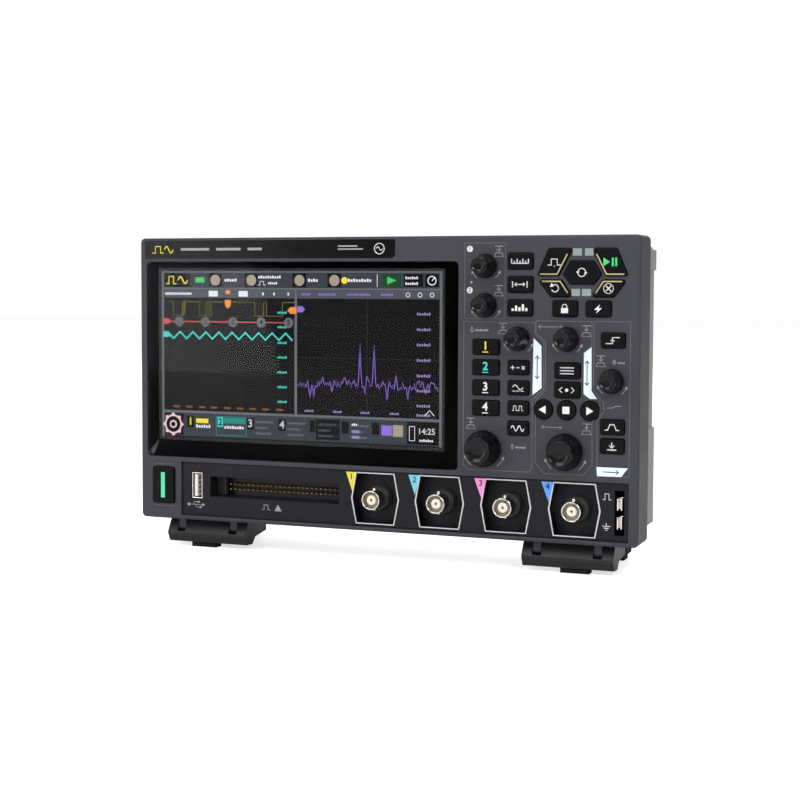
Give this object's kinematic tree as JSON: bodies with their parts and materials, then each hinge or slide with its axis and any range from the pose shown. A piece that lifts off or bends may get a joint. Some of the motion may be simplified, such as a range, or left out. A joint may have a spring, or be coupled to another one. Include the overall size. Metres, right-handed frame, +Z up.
{
  "type": "oscilloscope",
  "caption": "Compact bench oscilloscope with a touch display, control keys and push knobs, coaxial inputs below, rear socket pocket and folding tilt legs.",
  "frame": {"origin": "centre of the bounding box on the surface that the instrument stands on, legs folded", "axes": "+X to the right as a user sees it, +Y from the front to the back, +Z up"},
  "size_m": [0.2654, 0.077, 0.1618],
  "materials": {
    "front_bezel": "fine-textured dark blue-grey moulding",
    "input_panel": "darker fine-textured moulding",
    "rear_cover": "fine-textured light grey moulding",
    "touch_glass": "polished cover glass with a black printed border",
    "lcd_module": "display panel",
    "key_mat": "moulded silicone",
    "key_board": "green circuit board",
    "main_board": "green circuit board with parts",
    "chassis_plate": "zinc-plated sheet",
    "fan_frame": "black moulding",
    "fan_rotor": "black moulding",
    "bnc_shells": "bright nickel plate",
    "bnc_insulators": "cream insulator",
    "logic_header": "black moulding",
    "port_shells": "bright nickel plate",
    "screws": "black zinc",
    "rear_feet": "black rubber",
    "keys": "near-black satin key caps",
    "power_key": "dark satin key cap",
    "knob_shafts": "turned steel",
    "knobs": "near-black satin moulding",
    "tilt_legs": "black moulding with rubber pads"
  },
  "bodies": {
    "body": {"front_bezel": "front_bezel", "input_panel": "input_panel", "rear_cover": "rear_cover", "touch_glass": "touch_glass", "lcd_module": "lcd_module", "key_mat": "key_mat", "key_board": "key_board", "main_board": "main_board", "chassis_plate": "chassis_plate", "fan_frame": "fan_frame", "bnc_shells": "bnc_shells", "bnc_insulators": "bnc_insulators", "logic_header": "logic_header", "port_shells": "port_shells", "screws": "screws", "rear_feet": "rear_feet"},
    "measure_key": {"measure_key": "keys"},
    "cursor_key": {"cursor_key": "keys"},
    "analyse_key": {"analyse_key": "keys"},
    "touch_lock_key": {"touch_lock_key": "keys"},
    "quick_key": {"quick_key": "keys"},
    "channel_1_key": {"channel_1_key": "keys"},
    "channel_2_key": {"channel_2_key": "keys"},
    "channel_3_key": {"channel_3_key": "keys"},
    "channel_4_key": {"channel_4_key": "keys"},
    "math_key": {"math_key": "keys"},
    "reference_key": {"reference_key": "keys"},
    "logic_key": {"logic_key": "keys"},
    "generator_key": {"generator_key": "keys"},
    "menu_key": {"menu_key": "keys"},
    "navigate_key": {"navigate_key": "keys"},
    "trigger_menu_key": {"trigger_menu_key": "keys"},
    "slope_key": {"slope_key": "keys"},
    "force_key": {"force_key": "keys"},
    "previous_key": {"previous_key": "keys"},
    "stop_key": {"stop_key": "keys"},
    "next_key": {"next_key": "keys"},
    "single_key": {"single_key": "keys"},
    "run_stop_key": {"run_stop_key": "keys"},
    "default_key": {"default_key": "keys"},
    "clear_key": {"clear_key": "keys"},
    "auto_key": {"auto_key": "keys"},
    "power_key": {"power_key": "power_key"},
    "upper_multi_shaft": {"upper_multi_shaft": "knob_shafts"},
    "upper_multi_knob": {"upper_multi_knob": "knobs"},
    "lower_multi_shaft": {"lower_multi_shaft": "knob_shafts"},
    "lower_multi_knob": {"lower_multi_knob": "knobs"},
    "vertical_position_shaft": {"vertical_position_shaft": "knob_shafts"},
    "vertical_position_knob": {"vertical_position_knob": "knobs"},
    "horizontal_position_shaft": {"horizontal_position_shaft": "knob_shafts"},
    "horizontal_position_knob": {"horizontal_position_knob": "knobs"},
    "trigger_level_shaft": {"trigger_level_shaft": "knob_shafts"},
    "trigger_level_knob": {"trigger_level_knob": "knobs"},
    "vertical_scale_shaft": {"vertical_scale_shaft": "knob_shafts"},
    "vertical_scale_knob": {"vertical_scale_knob": "knobs"},
    "horizontal_scale_shaft": {"horizontal_scale_shaft": "knob_shafts"},
    "horizontal_scale_knob": {"horizontal_scale_knob": "knobs"},
    "left_tilt_leg": {"left_tilt_leg": "tilt_legs"},
    "right_tilt_leg": {"right_tilt_leg": "tilt_legs"},
    "fan_rotor": {"fan_rotor": "fan_rotor"}
  },
  "joints": [
    {"name": "measure_press", "type": "slide", "parent": "body", "child": "measure_key", "axis": [0, 1, 0], "range_m": [0, 0.001], "stiffness_N_per_m": 900},
    {"name": "cursor_press", "type": "slide", "parent": "body", "child": "cursor_key", "axis": [0, 1, 0], "range_m": [0, 0.001], "stiffness_N_per_m": 900},
    {"name": "analyse_press", "type": "slide", "parent": "body", "child": "analyse_key", "axis": [0, 1, 0], "range_m": [0, 0.001], "stiffness_N_per_m": 900},
    {"name": "touch_lock_press", "type": "slide", "parent": "body", "child": "touch_lock_key", "axis": [0, 1, 0], "range_m": [0, 0.001], "stiffness_N_per_m": 900},
    {"name": "quick_press", "type": "slide", "parent": "body", "child": "quick_key", "axis": [0, 1, 0], "range_m": [0, 0.001], "stiffness_N_per_m": 900},
    {"name": "channel_1_press", "type": "slide", "parent": "body", "child": "channel_1_key", "axis": [0, 1, 0], "range_m": [0, 0.001], "stiffness_N_per_m": 900},
    {"name": "channel_2_press", "type": "slide", "parent": "body", "child": "channel_2_key", "axis": [0, 1, 0], "range_m": [0, 0.001], "stiffness_N_per_m": 900},
    {"name": "channel_3_press", "type": "slide", "parent": "body", "child": "channel_3_key", "axis": [0, 1, 0], "range_m": [0, 0.001], "stiffness_N_per_m": 900},
    {"name": "channel_4_press", "type": "slide", "parent": "body", "child": "channel_4_key", "axis": [0, 1, 0], "range_m": [0, 0.001], "stiffness_N_per_m": 900},
    {"name": "math_press", "type": "slide", "parent": "body", "child": "math_key", "axis": [0, 1, 0], "range_m": [0, 0.001], "stiffness_N_per_m": 900},
    {"name": "reference_press", "type": "slide", "parent": "body", "child": "reference_key", "axis": [0, 1, 0], "range_m": [0, 0.001], "stiffness_N_per_m": 900},
    {"name": "logic_press", "type": "slide", "parent": "body", "child": "logic_key", "axis": [0, 1, 0], "range_m": [0, 0.001], "stiffness_N_per_m": 900},
    {"name": "generator_press", "type": "slide", "parent": "body", "child": "generator_key", "axis": [0, 1, 0], "range_m": [0, 0.001], "stiffness_N_per_m": 900},
    {"name": "menu_press", "type": "slide", "parent": "body", "child": "menu_key", "axis": [0, 1, 0], "range_m": [0, 0.001], "stiffness_N_per_m": 900},
    {"name": "navigate_press", "type": "slide", "parent": "body", "child": "navigate_key", "axis": [0, 1, 0], "range_m": [0, 0.001], "stiffness_N_per_m": 900},
    {"name": "trigger_menu_press", "type": "slide", "parent": "body", "child": "trigger_menu_key", "axis": [0, 1, 0], "range_m": [0, 0.001], "stiffness_N_per_m": 900},
    {"name": "slope_press", "type": "slide", "parent": "body", "child": "slope_key", "axis": [0, 1, 0], "range_m": [0, 0.001], "stiffness_N_per_m": 900},
    {"name": "force_press", "type": "slide", "parent": "body", "child": "force_key", "axis": [0, 1, 0], "range_m": [0, 0.001], "stiffness_N_per_m": 900},
    {"name": "previous_press", "type": "slide", "parent": "body", "child": "previous_key", "axis": [0, 1, 0], "range_m": [0, 0.001], "stiffness_N_per_m": 900},
    {"name": "stop_press", "type": "slide", "parent": "body", "child": "stop_key", "axis": [0, 1, 0], "range_m": [0, 0.001], "stiffness_N_per_m": 900},
    {"name": "next_press", "type": "slide", "parent": "body", "child": "next_key", "axis": [0, 1, 0], "range_m": [0, 0.001], "stiffness_N_per_m": 900},
    {"name": "single_press", "type": "slide", "parent": "body", "child": "single_key", "axis": [0, 1, 0], "range_m": [0, 0.001], "stiffness_N_per_m": 900},
    {"name": "run_stop_press", "type": "slide", "parent": "body", "child": "run_stop_key", "axis": [0, 1, 0], "range_m": [0, 0.001], "stiffness_N_per_m": 900},
    {"name": "default_press", "type": "slide", "parent": "body", "child": "default_key", "axis": [0, 1, 0], "range_m": [0, 0.001], "stiffness_N_per_m": 900},
    {"name": "clear_press", "type": "slide", "parent": "body", "child": "clear_key", "axis": [0, 1, 0], "range_m": [0, 0.001], "stiffness_N_per_m": 900},
    {"name": "auto_press", "type": "slide", "parent": "body", "child": "auto_key", "axis": [0, 1, 0], "range_m": [0, 0.001], "stiffness_N_per_m": 900},
    {"name": "power_press", "type": "slide", "parent": "body", "child": "power_key", "axis": [0, 1, 0], "range_m": [0, 0.001], "stiffness_N_per_m": 900},
    {"name": "upper_multi_press", "type": "slide", "parent": "body", "child": "upper_multi_shaft", "axis": [0, 1, 0], "range_m": [0, 0.0005], "stiffness_N_per_m": 3000},
    {"name": "upper_multi_turn", "type": "hinge", "parent": "upper_multi_shaft", "child": "upper_multi_knob", "pos_m": [0.05738, -0.02692, 0.1472], "axis": [0, 1, 0], "continuous": true},
    {"name": "lower_multi_press", "type": "slide", "parent": "body", "child": "lower_multi_shaft", "axis": [0, 1, 0], "range_m": [0, 0.0005], "stiffness_N_per_m": 3000},
    {"name": "lower_multi_turn", "type": "hinge", "parent": "lower_multi_shaft", "child": "lower_multi_knob", "pos_m": [0.05738, -0.02692, 0.1284], "axis": [0, 1, 0], "continuous": true},
    {"name": "vertical_position_press", "type": "slide", "parent": "body", "child": "vertical_position_shaft", "axis": [0, 1, 0], "range_m": [0, 0.0005], "stiffness_N_per_m": 3000},
    {"name": "vertical_position_turn", "type": "hinge", "parent": "vertical_position_shaft", "child": "vertical_position_knob", "pos_m": [0.07387, -0.02692, 0.1126], "axis": [0, 1, 0], "continuous": true},
    {"name": "horizontal_position_press", "type": "slide", "parent": "body", "child": "horizontal_position_shaft", "axis": [0, 1, 0], "range_m": [0, 0.0005], "stiffness_N_per_m": 3000},
    {"name": "horizontal_position_turn", "type": "hinge", "parent": "horizontal_position_shaft", "child": "horizontal_position_knob", "pos_m": [0.09788, -0.02692, 0.1127], "axis": [0, 1, 0], "continuous": true},
    {"name": "trigger_level_press", "type": "slide", "parent": "body", "child": "trigger_level_shaft", "axis": [0, 1, 0], "range_m": [0, 0.0005], "stiffness_N_per_m": 3000},
    {"name": "trigger_level_turn", "type": "hinge", "parent": "trigger_level_shaft", "child": "trigger_level_knob", "pos_m": [0.11958, -0.02692, 0.0934], "axis": [0, 1, 0], "continuous": true},
    {"name": "vertical_scale_press", "type": "slide", "parent": "body", "child": "vertical_scale_shaft", "axis": [0, 1, 0], "range_m": [0, 0.0005], "stiffness_N_per_m": 3000},
    {"name": "vertical_scale_turn", "type": "hinge", "parent": "vertical_scale_shaft", "child": "vertical_scale_knob", "pos_m": [0.05697, -0.02692, 0.0594], "axis": [0, 1, 0], "continuous": true},
    {"name": "horizontal_scale_press", "type": "slide", "parent": "body", "child": "horizontal_scale_shaft", "axis": [0, 1, 0], "range_m": [0, 0.0005], "stiffness_N_per_m": 3000},
    {"name": "horizontal_scale_turn", "type": "hinge", "parent": "horizontal_scale_shaft", "child": "horizontal_scale_knob", "pos_m": [0.09728, -0.02692, 0.0594], "axis": [0, 1, 0], "continuous": true},
    {"name": "left_leg_fold", "type": "hinge", "parent": "body", "child": "left_tilt_leg", "pos_m": [-0.09715, -0.01742, 0.0109], "axis": [-1, 0, 0], "range_deg": [0, 85]},
    {"name": "right_leg_fold", "type": "hinge", "parent": "body", "child": "right_tilt_leg", "pos_m": [0.09715, -0.01742, 0.0109], "axis": [-1, 0, 0], "range_deg": [0, 85]},
    {"name": "fan_spin", "type": "hinge", "parent": "body", "child": "fan_rotor", "pos_m": [0.08497, 0.03108, 0.1104], "axis": [0, 1, 0], "continuous": true}
  ]
}
